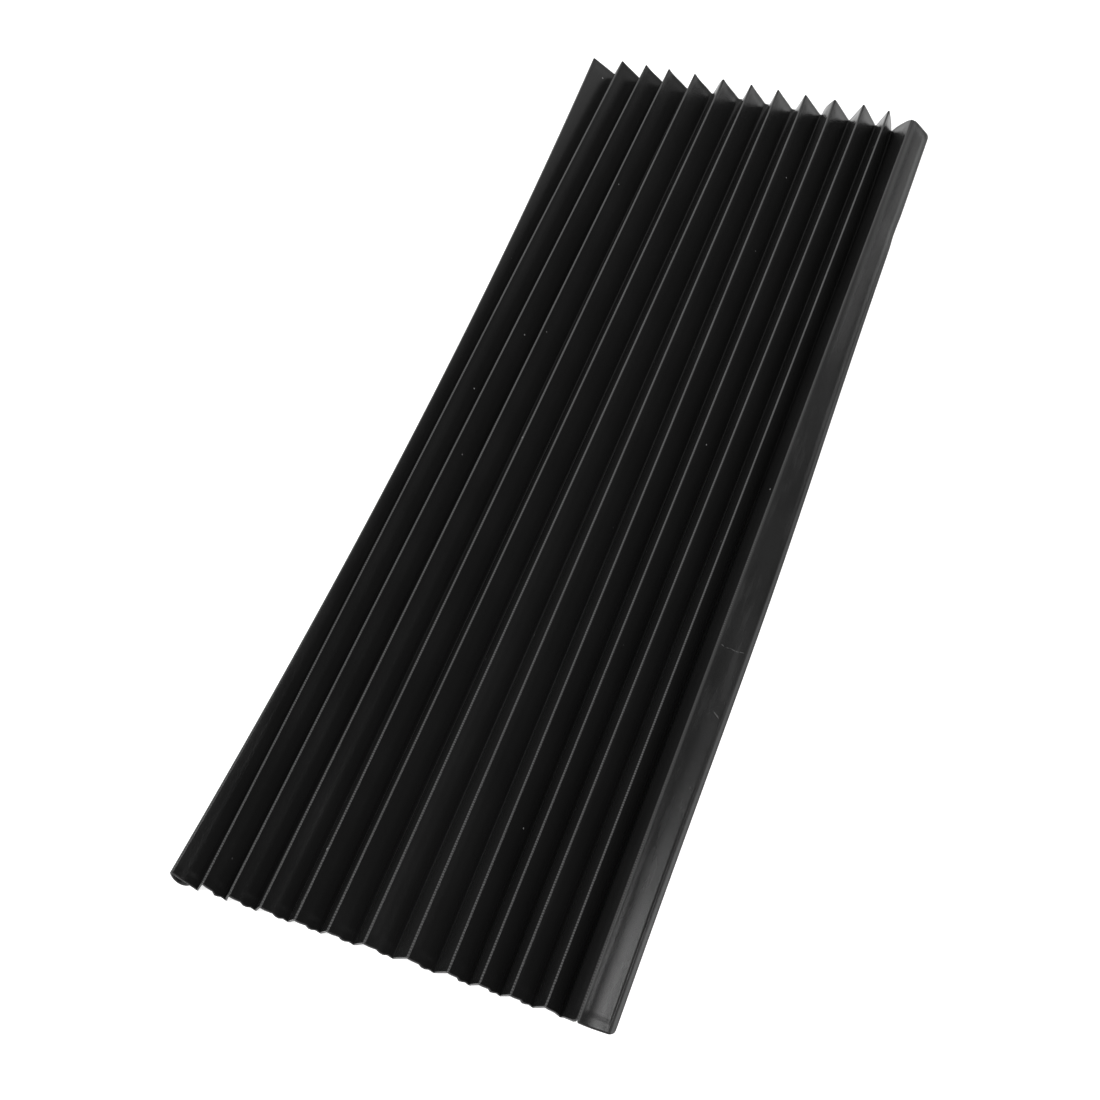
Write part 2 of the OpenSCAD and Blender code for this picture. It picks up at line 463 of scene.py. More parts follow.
def rounded(points, folds, half):
    """The points with the samples within half of each fold replaced by a cubic arc between the two panels.
    The radius is half the chord over the sine of half the turn."""
    start = points[:, folds - half]
    end = points[:, folds + half]
    leave = unit(start - points[:, folds - half - 1])
    arrive = unit(points[:, folds + half + 1] - end)
    turn = np.arccos(np.clip((leave * arrive).sum(-1), -1, STRAIGHTEST))
    radius = np.linalg.norm(end - start, axis=-1) / (2 * np.sin(turn / 2))
    handle = (4 / 3 * np.tan(turn / 4) * radius)[:, :, None, None]
    t = np.linspace(0, 1, 2 * half + 1)[:, None]
    first = start[:, :, None]
    last = end[:, :, None]
    second = first + handle * leave[:, :, None]
    third = last - handle * arrive[:, :, None]
    arc = (1 - t) ** 3 * first + 3 * t * (1 - t) ** 2 * second + 3 * t ** 2 * (1 - t) * third + t ** 3 * last
    smooth = points.copy()
    smooth[:, folds[:, None] + np.arange(-half, half + 1)] = arc
    return smooth


section = rounded(section, crest_column[:1], FIRST_CREST_SAMPLES)
section = rounded(section, crest_column[1:], CREST_SAMPLES)
section = rounded(section, front_fold_column, VALLEY_SAMPLES)
section = rounded(section, back_fold_column, VALLEY_SAMPLES)
steps = np.linalg.norm(np.diff(section, axis=1), axis=-1)
developed = np.concatenate([[0], np.cumsum(steps.mean(axis=0))])
flap_start = float(developed[crest_column[-1]])
print("cloth laid flat:", round(float(developed[-1]), 1), "mm, right flap from", round(flap_start, 1), "mm")

# %% [markdown]
# ## The middle surface
#
# The rounded section on every row makes one surface, halfway between the two cloths. The near end of the
# real cover is not cut straight: each crest reaches out, each front panel has a small foot, and the flap
# hangs out most. A cutter could trim the cloths, but moving the rows keeps the grid whole. The normals of
# this surface carry the layers: the outer cloth above, the lining below, and a strip between them inside
# each panel.

# %% The scalloped near end
CREST_OVERHANG = 1.15
UNEVEN_WAVES = ((0.2, 5.2, 3.3),)
SECOND_SHARE = 0.25
LAST_OVERHANG = 2.3
FRONT_FADE = 4.5
BACK_FADE = 8.8
FOOT_OVERHANG = 0.9
FOOT_BACK = 3.5
FOOT_WIDTH = 0.8
FLAP_OVERHANG = 2.2
FLAP_SPAN = 10.0
FLAP_LOSS = 0.75
FLAP_BLEND = 0.08
FLAP_NOTCH = 0.8
NOTCH_BACK = 0.3
NOTCH_WIDTH = 0.5


def panel_hang(past_crest):
    """How far the panels reach past the near end: most at a crest, fading as a bell down its front panel
    and in a straight line down its back panel, with a bell-shaped foot on each front panel. A wave makes
    the crests differ, the first two reach less and the last one more."""
    reach = CREST_OVERHANG + waves(np.arange(crest_count), UNEVEN_WAVES)
    reach[0] = 0.0
    reach[1] = SECOND_SHARE * CREST_OVERHANG
    reach[-1] = LAST_OVERHANG
    front = bell(past_crest, FRONT_FADE) * (past_crest >= 0)
    back = np.clip(1 + past_crest / BACK_FADE, 0, 1) * (past_crest < 0)
    past_fold = developed[:, None] - developed[front_fold_column[1:-1]]
    foot = FOOT_OVERHANG * bell(past_fold + FOOT_BACK, FOOT_WIDTH).max(axis=1)
    return ((front + back) * reach).max(axis=1) + foot


def near_cut():
    """How far each column reaches past the near end: as the panels do, then as the right flap does, which
    falls in a straight line towards its edge. A bell-shaped notch parts the two."""
    past_crest = developed[:, None] - developed[crest_column]
    panels = panel_hang(past_crest)
    flap_u = np.clip(past_crest[:, -1] / FLAP_SPAN, 0, 1)
    flap = FLAP_OVERHANG * (1 - FLAP_LOSS * flap_u)
    notch = FLAP_NOTCH * bell(past_crest[:, -1] + NOTCH_BACK, NOTCH_WIDTH)
    return panels + (flap - panels) * np.clip(flap_u / FLAP_BLEND, 0, 1) - notch


overhang = near_cut()
print("near end reaches out by up to", round(float(overhang.max()), 2), "mm")

# %% Lay the section along the cover
OVERHANG_REACH = 12.0
END_REACH = 3.0
CORNER_R = 1.6
SHOULDER_PULL = 0.8
SHOULDER_WIDTH = 1.3
VALLEY_PULL = 1.2
VALLEY_PULL_WIDTH = 2.0


def middle_surface():
    """Section points with their row's place. The overhang fades out along the cover, a quarter circle
    rounds the two corners of the right flap, and two bells draw in the last crest and its valley at the far
    end."""
    hang = overhang * fade(from_near, OVERHANG_REACH)[:, None]
    to_edge = np.clip(1 - (developed[-1] - developed) / CORNER_R, 0, 1)
    corner = CORNER_R * (1 - np.sqrt(1 - to_edge ** 2))
    pull = corner * (fade(from_near, END_REACH) - fade(from_far, END_REACH))[:, None]
    shoulder = SHOULDER_PULL * bell(developed - flap_start, SHOULDER_WIDTH)
    hollow = VALLEY_PULL * bell(developed - developed[front_fold_column[-1]], VALLEY_PULL_WIDTH)
    drawn_in = (shoulder + hollow) * fade(from_far, END_REACH)[:, None]
    y = rows[:, None] - hang + pull - drawn_in
    return np.stack([section[..., 0], y, section[..., 1]], -1)


middle = middle_surface()
normal = unit(np.cross(np.gradient(middle, axis=1), np.gradient(middle, axis=0)))
print("middle surface:", [round(float(x), 1) for x in np.ptp(middle, axis=(0, 1))], "mm")

# %% [markdown]
# ## Room for the strips
#
# Inside a panel the two cloths stand apart by the thickness of a strip, and they close again at every fold.
# The pocket could be cut out of one thick sheet, but two sheets that part are what the real cover has. The
# spread is a soft step at each edge of a strip, across the section and at both ends. It is long and soft at
# the far end and on the right flap, where the cloth is slack and the strip hardly shows.

# %% Edges of the strips
STRIP_MARGIN = 1.0
STRIP_TAPER = 0.5
FLAP_MARGIN = 1.05
FLAP_TAPER = 2.0
RIM_W = 2.0
RIM_TAPER = 2.2

strip_starts = np.concatenate([
    [0],
    np.stack([crest_column[:-1], back_fold_column], -1).ravel(),
    [crest_column[-1]],
])
strip_ends = np.concatenate([
    [crest_column[0]],
    np.stack([front_fold_column, crest_column[1:]], -1).ravel(),
    [section.shape[1] - 1],
])
strip_from = developed[strip_starts] + STRIP_MARGIN
strip_to = developed[strip_ends] - STRIP_MARGIN
strip_from[0] = developed[0] + RIM_W
strip_from[-1] = flap_start + FLAP_MARGIN
strip_to[-1] = developed[-1] - RIM_W
taper_from = np.full(len(strip_from), STRIP_TAPER)
taper_from[-1] = FLAP_TAPER
taper_to = np.full(len(strip_to), STRIP_TAPER)
taper_to[-1] = RIM_TAPER
print("strips:", len(strip_from), "widths from", round(float((strip_to - strip_from).min()), 2), "mm")

# %% Where the cloths stand apart
STRIP_T = 0.3
STRIP_END_GAP = 3.0
END_TAPER = 0.7
FAR_END_TAPER = 4.0
LAYER_GAP = 0.02


def soft_step(distance):
    """0 below nought, 1 above one, and 3d*d - 2d*d*d between."""
    d = np.clip(distance, 0, 1)
    return d * d * (3 - 2 * d)


def edge_step(inside, taper):
    """A soft step over the taper, half way up where the distance inside the edge is nought."""
    return soft_step(inside / taper + 0.5)


opening = edge_step(developed[None] - strip_from[:, None], taper_from[:, None])
closing = edge_step(strip_to[:, None] - developed[None], taper_to[:, None])
across_strip = (opening * closing).max(axis=0)
near_step = edge_step(from_near - STRIP_END_GAP, END_TAPER)
far_step = edge_step(from_far - STRIP_END_GAP, FAR_END_TAPER)
along_strip = near_step * far_step
half_gap = LAYER_GAP / 2 + STRIP_T / 2 * along_strip[:, None] * across_strip[None, :]
print("cloths stand apart by", [round(2 * float(gap), 2) for gap in (half_gap.min(), half_gap.max())], "mm")

# %% [markdown]
# ## From arrays to meshes
#
# A layer is a closed shell: an upper grid, a lower grid and four narrow walls. A modifier could thicken a
# single sheet, but here the faces are index arithmetic on the grid, so the gap between the cloths stays
# exact and no vertex is visited one by one. Columns are kept close at the folds and wide apart on the
# panels.

# %% Choose the columns
PANEL_STRIDE = 8
FLAP_STRIDE = 2
VALLEY_STRIDE = 2


def kept_columns():
    """Every column at a crest, every second one in a valley and on the right flap, every eighth one
    elsewhere."""
    every = np.arange(section.shape[1])
    at_crest = np.abs(every[:, None] - crest_column).min(axis=1) <= CREST_SAMPLES
    at_first = np.abs(every - crest_column[0]) <= FIRST_CREST_SAMPLES
    valley = np.concatenate([front_fold_column, back_fold_column])
    at_valley = np.abs(every[:, None] - valley).min(axis=1) <= VALLEY_SAMPLES
    in_valley = at_valley & (every % VALLEY_STRIDE == 0)
    on_flap = (every > crest_column[-1]) & (every % FLAP_STRIDE == 0)
    sparse = every % PANEL_STRIDE == 0
    last = every == every[-1]
    return every[at_crest | at_first | in_valley | on_flap | sparse | last]


columns = kept_columns()
print("cloth grid:", len(rows), "rows,", len(columns), "of", section.shape[1], "columns")

# %% Mesh helpers
def shell_faces(row_count, column_count):
    """Quads of a closed shell: upper grid, lower grid turned over, then the walls, and which of them are
    walls."""
    grid = np.arange(row_count * column_count).reshape(row_count, column_count)
    upper = np.stack([grid[:-1, :-1], grid[:-1, 1:], grid[1:, 1:], grid[1:, :-1]], -1).reshape(-1, 4)
    lower = upper[:, ::-1] + grid.size
    rim = np.concatenate([grid[0, :-1], grid[:-1, -1], grid[-1, :0:-1], grid[:0:-1, 0]])
    ahead = np.roll(rim, -1)
    walls = np.stack([rim, rim + grid.size, ahead + grid.size, ahead], -1)
    faces = np.concatenate([upper, lower, walls])
    return faces, np.arange(len(faces)) >= len(upper) + len(lower)


def both_sides(values, shape):
    """Values spread over a grid, once for the upper side of a shell and once for the lower."""
    return np.tile(np.broadcast_to(values, shape).ravel(), 2)


def mesh_object(name, points, faces, materials, face_material=None):
    """A mesh object at the origin from points in mm and quads, shaded smooth, with one material index per
    face."""
    mesh = bpy.data.meshes.new(name)
    mesh.from_pydata((points * MM).tolist(), [], faces.tolist())
    for material in materials:
        mesh.materials.append(material)
    if face_material is not None:
        mesh.polygons.foreach_set("material_index", face_material.astype(np.int32))
    mesh.polygons.foreach_set("use_smooth", np.ones(len(faces), bool))
    mesh.update()
    piece = bpy.data.objects.new(name, mesh)
    scene.collection.objects.link(piece)
    return piece


def add_value(piece, name, values):
    """A number on every vertex, which a material reads by its name."""
    attribute = piece.data.attributes.new(name, "FLOAT", "POINT")
    attribute.data.foreach_set("value", values.astype(np.float32).ravel())


def add_uv(piece, u, v):
    """A UV map in metres: across the flat cloth and along it."""
    mesh = piece.data
    corner = np.empty(len(mesh.loops), np.int32)
    mesh.loops.foreach_get("vertex_index", corner)
    uv = np.stack([u, v], -1)[corner] * MM
    mesh.uv_layers.new(name="flat").data.foreach_set("uv", uv.astype(np.float32).ravel())


cloth_faces, cloth_walls = shell_faces(len(rows), len(columns))
print("a cloth has", len(cloth_faces), "quads,", int(cloth_walls.sum()), "of them on its cut edges")

# %% [markdown]
# ## Shared finishes
#
# Four effects make up the finishes: the threads of the woven base cloth, a mottle of the coating, marks of
# handling, and a scratch. They could be painted by hand, but nodes over the flat cloth follow every fold
# and stay sharp. Each is a node group with named inputs and outputs that gives out only masks and values,
# so that several materials, or one material several times, can use it.

# %% Group helpers
FLOAT = "NodeSocketFloat"
VECTOR = "NodeSocketVector"


def new_group(name, inputs, outputs):
    """A shader node group with float or vector inputs and float outputs."""
    tree = bpy.data.node_groups.new(name, "ShaderNodeTree")
    for socket, kind in inputs:
        tree.interface.new_socket(socket, in_out="INPUT", socket_type=kind)
    for socket in outputs:
        tree.interface.new_socket(socket, in_out="OUTPUT", socket_type=FLOAT)
    return tree, tree.nodes.new("NodeGroupInput"), tree.nodes.new("NodeGroupOutput")


def join(tree, value, socket):
    """Links a socket, or sets a plain number, on another socket."""
    if isinstance(value, bpy.types.NodeSocket):
        tree.links.new(value, socket)
    else:
        socket.default_value = value


def place_group(tree, group, **values):
    """A group node in a tree, with its inputs linked or set by name."""
    node = tree.nodes.new("ShaderNodeGroup")
    node.node_tree = group
    for name, value in values.items():
        join(tree, value, node.inputs[name])
    return node.outputs


# %% Node helpers
def maths(tree, operation, first, second=0.5, third=0.5, clamp=False):
    """A Math node with its inputs linked or set, and its result."""
    node = tree.nodes.new("ShaderNodeMath")
    node.operation = operation
    node.use_clamp = clamp
    for socket, value in zip(node.inputs, (first, second, third)):
        join(tree, value, socket)
    return node.outputs[0]


def ranged(tree, value, low, high, to_low=0.0, to_high=1.0):
    """A Map Range node, smooth and clamped, and its result."""
    node = tree.nodes.new("ShaderNodeMapRange")
    node.interpolation_type = "SMOOTHSTEP"
    for socket, given in zip(node.inputs, (value, low, high, to_low, to_high)):
        join(tree, given, socket)
    return node.outputs[0]


def noise(tree, vector, scale, detail=2.0, roughness=0.5):
    """A Noise Texture node and its value."""
    node = tree.nodes.new("ShaderNodeTexNoise")
    tree.links.new(vector, node.inputs["Vector"])
    node.inputs["Scale"].default_value = scale
    node.inputs["Detail"].default_value = detail
    node.inputs["Roughness"].default_value = roughness
    return node.outputs["Fac"]


def axes(tree, vector):
    """The X, Y and Z of a vector."""
    node = tree.nodes.new("ShaderNodeSeparateXYZ")
    tree.links.new(vector, node.inputs[0])
    return node.outputs["X"], node.outputs["Y"], node.outputs["Z"]


# %% Thread weave group
def thread_weave():
    """Plain weave on the flat cloth: the product of two sines of the thread pitch, one across and one
    along. The dots beat along the cloth once in two threads, from 0 to 1."""
    tree, given, out = new_group("thread_weave", [("Flat", VECTOR), ("Thread", FLOAT)], ["Height", "Dots"])
    x, y, _ = axes(tree, given.outputs["Flat"])
    turns = maths(tree, "DIVIDE", 2 * math.pi, given.outputs["Thread"])
    across = maths(tree, "SINE", maths(tree, "MULTIPLY", x, turns))
    length = maths(tree, "SINE", maths(tree, "MULTIPLY", y, turns))
    tree.links.new(maths(tree, "MULTIPLY", across, length), out.inputs["Height"])
    half_turns = maths(tree, "DIVIDE", turns, 2.0)
    beat = maths(tree, "SINE", maths(tree, "MULTIPLY", y, half_turns))
    tree.links.new(maths(tree, "MULTIPLY_ADD", beat, 0.5, 0.5), out.inputs["Dots"])
    return tree


weave_group = thread_weave()
print("node group:", weave_group.name)

# %% Coating mottle group
CLOUD_SCALE = 45.0
GRAIN_SCALE = 1600.0
GRAIN_ROUGHNESS = 0.6


def coating_mottle():
    """Cloudy and fine noise on the flat cloth, as a rubbed plastic coating has."""
    tree, given, out = new_group("coating_mottle", [("Flat", VECTOR)], ["Cloud", "Grain"])
    flat = given.outputs["Flat"]
    tree.links.new(noise(tree, flat, CLOUD_SCALE, 1.0), out.inputs["Cloud"])
    tree.links.new(noise(tree, flat, GRAIN_SCALE, 2.0, GRAIN_ROUGHNESS), out.inputs["Grain"])
    return tree


mottle_group = coating_mottle()
print("node group:", mottle_group.name)

# %% Handling marks group
STREAK_STRETCH = (1.0, 0.12, 1.0)
STREAK_SCALE = 300.0
STREAK_ROUGHNESS = 0.6
STREAK_SPAN = (0.48, 0.72)
SPECK_SCALE = 60.0
SPECK_CHANCE = (0.9, 0.98)
SPECK_RADIUS = (0.008, 0.02)


def handling_marks():
    """Smoky streaks, a noise drawn out along the cloth, and a few round specks of dust: cells of a Voronoi
    pattern, of which only those with a high random number hold a speck."""
    tree, given, out = new_group("handling_marks", [("Flat", VECTOR)], ["Streaks", "Specks"])
    stretch = tree.nodes.new("ShaderNodeMapping")
    stretch.inputs["Scale"].default_value = STREAK_STRETCH
    tree.links.new(given.outputs["Flat"], stretch.inputs["Vector"])
    smoke = noise(tree, stretch.outputs["Vector"], STREAK_SCALE, 3.0, STREAK_ROUGHNESS)
    tree.links.new(ranged(tree, smoke, *STREAK_SPAN), out.inputs["Streaks"])
    cells = tree.nodes.new("ShaderNodeTexVoronoi")
    cells.voronoi_dimensions = "2D"
    cells.inputs["Scale"].default_value = SPECK_SCALE
    tree.links.new(given.outputs["Flat"], cells.inputs["Vector"])
    chance = tree.nodes.new("ShaderNodeSeparateColor")
    tree.links.new(cells.outputs["Color"], chance.inputs[0])
    chosen = ranged(tree, chance.outputs["Red"], *SPECK_CHANCE)
    close = ranged(tree, cells.outputs["Distance"], *SPECK_RADIUS, 1.0, 0.0)
    tree.links.new(maths(tree, "MULTIPLY", chosen, close), out.inputs["Specks"])
    return tree


marks_group = handling_marks()
print("node group:", marks_group.name)

# %% Scratch group
WAVER_SCALE = 350.0
WAVER = 2.5 * MM
SCRATCH_HALF = (0.06 * MM, 0.24 * MM)
SCRATCH_FADE = 0.5 * MM
BREAK_SCALE = 900.0
BREAK_SPAN = (0.38, 0.56)


def scratch_line():
    """One thin scratch: close to a straight line over the flat cloth that wavers with a noise, between two
    places across, and broken by a second noise."""
    inputs = [("Flat", VECTOR), ("Along", FLOAT), ("Slope", FLOAT), ("Start", FLOAT), ("End", FLOAT)]
    tree, given, out = new_group("scratch_line", inputs, ["Scratch"])
    flat = given.outputs["Flat"]
    x, y, _ = axes(tree, flat)
    run = maths(tree, "SUBTRACT", x, given.outputs["Start"])
    line = maths(tree, "MULTIPLY_ADD", run, given.outputs["Slope"], given.outputs["Along"])
    line = maths(tree, "MULTIPLY_ADD", noise(tree, flat, WAVER_SCALE, 1.0), WAVER, line)
    distance = maths(tree, "ABSOLUTE", maths(tree, "SUBTRACT", y, line))
    mark = ranged(tree, distance, *SCRATCH_HALF, 1.0, 0.0)
    begun = ranged(tree, run, 0.0, SCRATCH_FADE)
    left = ranged(tree, maths(tree, "SUBTRACT", given.outputs["End"], x), 0.0, SCRATCH_FADE)
    broken = ranged(tree, noise(tree, flat, BREAK_SCALE), *BREAK_SPAN)
    mark = maths(tree, "MULTIPLY", mark, broken)
    mark = maths(tree, "MULTIPLY", mark, maths(tree, "MULTIPLY", begun, left))
    tree.links.new(mark, out.inputs["Scratch"])
    return tree


scratch_group = scratch_line()
print("node group:", scratch_group.name)

# %% [markdown]
# ## Coated cloth
#
# The outside is a black plastic coating on a woven base. It is nearly black, with a dull shine. Along the
# crests the coating is rubbed, and the threads under it show as a pale dotted line, which runs together
# towards the far end. The creases and the far tips of the crests are dull and darker by painted shade. The
# right flap has smoky streaks, a band of painted sheen, two scratches and a rubbed rim with a painted
# highlight, and specks of dust lie about. A picture could hold all this, but then it would be fixed to one
# size, so the material mixes the groups by the wear and painted light that the vertices carry.

# %% Material helpers
def new_material(name, **plain):
    """A material with one Principled shader, whose constant values are set on its own sockets."""
    material = bpy.data.materials.new(name)
    material.use_nodes = True
    shader = material.node_tree.nodes["Principled BSDF"]
    for socket, value in plain.items():
        shader.inputs[socket.replace("_", " ")].default_value = value
    return material, material.node_tree, shader


def grey(level):
    """A neutral colour of one linear level."""
    return (level, level, level, 1.0)


def mixed(tree, share, first, second):
    """A colour mix by a share, with both colours set or linked."""
    node = tree.nodes.new("ShaderNodeMix")
    node.data_type = "RGBA"
    join(tree, share, node.inputs["Factor"])
    join(tree, first, node.inputs[6])
    join(tree, second, node.inputs[7])
    return node.outputs[2]


def flat_place(tree):
    """The flat cloth's own map, in metres."""
    node = tree.nodes.new("ShaderNodeUVMap")
    node.uv_map = "flat"
    return node.outputs["UV"]


def object_place(tree):
    """The X, Y and Z of a point on its own piece, in metres."""
    return axes(tree, tree.nodes.new("ShaderNodeTexCoord").outputs["Object"])


def vertex_value(tree, name):
    """A number stored on the vertices."""
    node = tree.nodes.new("ShaderNodeAttribute")
    node.attribute_name = name
    return node.outputs["Fac"]


def bumped(tree, height, strength, distance):
    """A Bump node over a height, and its normal."""
    node = tree.nodes.new("ShaderNodeBump")
    node.inputs["Strength"].default_value = strength
    node.inputs["Distance"].default_value = distance
    tree.links.new(height, node.inputs["Height"])
    return node.outputs["Normal"]


# %% Worn places of the coating, and its painted highlight at the rim
CLOUD_MIDDLE = (0.35, 0.65)
CLOUD_WIDE = (0.2, 0.8)
NEAR_GAPS = 0.95
FAR_GAPS = 0.35
GAPS_TO = 0.5
GAP_CLOUD = (0.65, 1.0)
WORN_CLOUD = (0.7, 1.0)
# the rim is paler partly by wear and partly by a painted highlight
RIM_WEAR_AND_HIGHLIGHT = 0.5


def worn_and_highlight_share(tree, weave, mottle):
    """How much the coating is worn, with a painted highlight at the rim: the rub of the crests times one
    less the thread dots, or the wear and painted highlight of the rim where that is more. The gaps between
    the dots get weaker towards the far end, and vary with the mottle."""
    y = object_place(tree)[1]
    gaps = ranged(tree, y, near_y * MM, GAPS_TO * far_y * MM, NEAR_GAPS, FAR_GAPS)
    gaps = maths(tree, "MULTIPLY", gaps, ranged(tree, mottle["Cloud"], *CLOUD_MIDDLE, *GAP_CLOUD))
    dotted = maths(tree, "SUBTRACT", 1.0, maths(tree, "MULTIPLY", gaps, weave["Dots"]))
    worn = maths(tree, "MULTIPLY", vertex_value(tree, "rub"), dotted)
    worn = maths(tree, "MULTIPLY", worn, ranged(tree, mottle["Cloud"], *CLOUD_WIDE, *WORN_CLOUD))
    # rim: wear and a painted highlight
    rim = maths(tree, "MULTIPLY", vertex_value(tree, "rim"), RIM_WEAR_AND_HIGHLIGHT)
    return maths(tree, "MAXIMUM", worn, rim)


print("gaps between thread dots:", NEAR_GAPS, "at the near end,", FAR_GAPS, "from y", GAPS_TO * far_y, "mm")

# %% Marks on the coating, with painted shade and painted sheen
COATING_GREYS = (0.0078, 0.0095)
# painted shade for the creases and for the far tips of the crests
PAINTED_SHADE_GREY = 0.003
SMOKE_GREY = 0.018
# painted sheen, a paler band on the left of the right flap
PAINTED_SHEEN_GREY = 0.055
DUST_GREY = 0.3
SCRATCH_GREY = 0.075
SCRATCHES = ((-59.0, 0.3, 0.8, 8.8), (-78.5, -0.44, 5.7, 8.3))


def grey_mix(tree, share, levels):
    """A mix of two neutral colours by a share."""
    return mixed(tree, share, grey(levels[0]), grey(levels[1]))


def marked_black(tree, flat, mottle):
    """The black of the coating, mixed by turns with the painted shade of creases, the grey of smoke, a
    painted sheen, and the greys of dust and scratches. Each scratch has its place along, its slope, and
    where it starts and ends past the last crest."""
    marks = place_group(tree, marks_group, Flat=flat)
    smoky = maths(tree, "MULTIPLY", marks["Streaks"], vertex_value(tree, "handled"))
    black = grey_mix(tree, mottle["Cloud"], COATING_GREYS)
    # painted shade: darker in the creases and at the far tips of the crests
    black = mixed(tree, vertex_value(tree, "painted_crease_shade"), black, grey(PAINTED_SHADE_GREY))
    black = mixed(tree, smoky, black, grey(SMOKE_GREY))
    # painted sheen on the right flap
    black = mixed(tree, vertex_value(tree, "painted_sheen"), black, grey(PAINTED_SHEEN_GREY))
    black = mixed(tree, marks["Specks"], black, grey(DUST_GREY))
    for y, slope, start, end in SCRATCHES:
        span = {"Start": (flap_start + start) * MM, "End": (flap_start + end) * MM}
        scratch = place_group(tree, scratch_group, Flat=flat, Along=y * MM, Slope=slope, **span)
        black = mixed(tree, scratch["Scratch"], black, grey(SCRATCH_GREY))
    return black


print("scratches:", len(SCRATCHES), "on the right flap")

# %% Make the coated cloth
THREAD = 0.39 * MM
CLOUD_INNER = (0.3, 0.7)
# pale grey of the rubbed crests, and of the rim and the flap beside the last crest, where it is partly
# painted highlight
WORN_AND_HIGHLIGHT_GREY = 0.112
COATING_ROUGH = (0.19, 0.23)
CREASE_ROUGH = 0.4
WORN_ROUGH = 0.2
COATING_WEAVE = 0.3
COATING_BUMP = 0.6
COATING_DEPTH = 0.025 * MM


def coated_cloth():
    """Black coating: marked black, paler where it is worn and where the rim has a painted highlight. It gets
    rougher in creases and in those places, and its bump is the grain plus a little of the weave."""
    material, tree, shader = new_material("coated_cloth", Specular_IOR_Level=0.4)
    flat = flat_place(tree)
    weave = place_group(tree, weave_group, Flat=flat, Thread=THREAD)
    mottle = place_group(tree, mottle_group, Flat=flat)
    worn = worn_and_highlight_share(tree, weave, mottle)
    colour = mixed(tree, worn, marked_black(tree, flat, mottle), grey(WORN_AND_HIGHLIGHT_GREY))
    tree.links.new(colour, shader.inputs["Base Color"])
    rough = ranged(tree, mottle["Cloud"], *CLOUD_INNER, *COATING_ROUGH)
    rough = maths(tree, "MULTIPLY_ADD", vertex_value(tree, "painted_crease_shade"), CREASE_ROUGH, rough)
    tree.links.new(maths(tree, "MULTIPLY_ADD", worn, WORN_ROUGH, rough), shader.inputs["Roughness"])
    height = maths(tree, "MULTIPLY_ADD", weave["Height"], COATING_WEAVE, mottle["Grain"])
    tree.links.new(bumped(tree, height, COATING_BUMP, COATING_DEPTH), shader.inputs["Normal"])
    return material


coated = coated_cloth()
print("material:", coated.name, "with", len(coated.node_tree.nodes), "nodes")

# %% [markdown]
# ## Lining, cut edges and strips
#
# The underside is a bare black weave, matt, with its threads plain to see. The cut edges show grey fibre
# ends, lighter than the coating. The hidden strips are smooth dark plastic. All three use the same groups
# as the coating, because they belong to the same cover and should vary at the same scale.

# %% Make the other materials
LINING_GREYS = (0.010, 0.024)
LINING_ROUGH = (0.62, 0.75)
LINING_GRAIN = 0.4
LINING_BUMP = 0.5
LINING_DEPTH = 0.06 * MM
EDGE_GREYS = (0.02, 0.09)
EDGE_ROUGH = (0.55, 0.8)
PLASTIC_GREYS = (0.03, 0.05)
PLASTIC_ROUGH = (0.4, 0.55)
GRAIN_WIDE = (0.2, 0.8)


def lining_weave():
    """Matt black cloth: two greys mixed by the weave's height, which is the bump too, with a little
    grain."""
    material, tree, shader = new_material("lining_weave", Specular_IOR_Level=0.35)
    flat = flat_place(tree)
    weave = place_group(tree, weave_group, Flat=flat, Thread=THREAD)
    mottle = place_group(tree, mottle_group, Flat=flat)
    thread = maths(tree, "MULTIPLY_ADD", weave["Height"], 0.5, 0.5)
    tree.links.new(grey_mix(tree, thread, LINING_GREYS), shader.inputs["Base Color"])
    rough = ranged(tree, mottle["Cloud"], *CLOUD_INNER, *LINING_ROUGH)
    tree.links.new(rough, shader.inputs["Roughness"])
    height = maths(tree, "MULTIPLY_ADD", mottle["Grain"], LINING_GRAIN, weave["Height"])
    tree.links.new(bumped(tree, height, LINING_BUMP, LINING_DEPTH), shader.inputs["Normal"])
    return material


def plain_finish(name, specular, by, greys, roughness):
    """A finish of two greys mixed by one output of the mottle, rougher where its grain is high."""
    material, tree, shader = new_material(name, Specular_IOR_Level=specular)
    mottle = place_group(tree, mottle_group, Flat=flat_place(tree))
    tree.links.new(grey_mix(tree, mottle[by], greys), shader.inputs["Base Color"])
    tree.links.new(ranged(tree, mottle["Grain"], *GRAIN_WIDE, *roughness), shader.inputs["Roughness"])
    return material


lining = lining_weave()
edge = plain_finish("cut_edge", 0.3, "Grain", EDGE_GREYS, EDGE_ROUGH)
plastic = plain_finish("stiff_plastic", 0.45, "Cloud", PLASTIC_GREYS, PLASTIC_ROUGH)
print("materials:", [m.name for m in (lining, edge, plastic)])

# %% [markdown]
# ## Wear and painted light on the cloth
#
# Wear follows the folds: crests rub, creases stay dull and get painted shade, the flap is held and gets a
# painted sheen and a painted highlight at its rim. So each kind is worked out from the flat distance to a
# fold and the place along the cover, and every vertex carries the values. A texture could be painted
# instead, but it would have to be painted again when a fold moves.

# %% Rubbed crests, and creases with painted shade
RUB_WIDTH = 0.12
LAST_RUB = 0.55
NEAR_RUB_LOSS = 0.3
TIP_REACH = 6.0
TIP_WIDTH = 0.3
CREASE_WIDTH = 0.5
CREASE_TO = 40.0
CREASE_FADE = 120.0
flat_column = developed[columns]
past_crests = flat_column[:, None] - developed[crest_column]


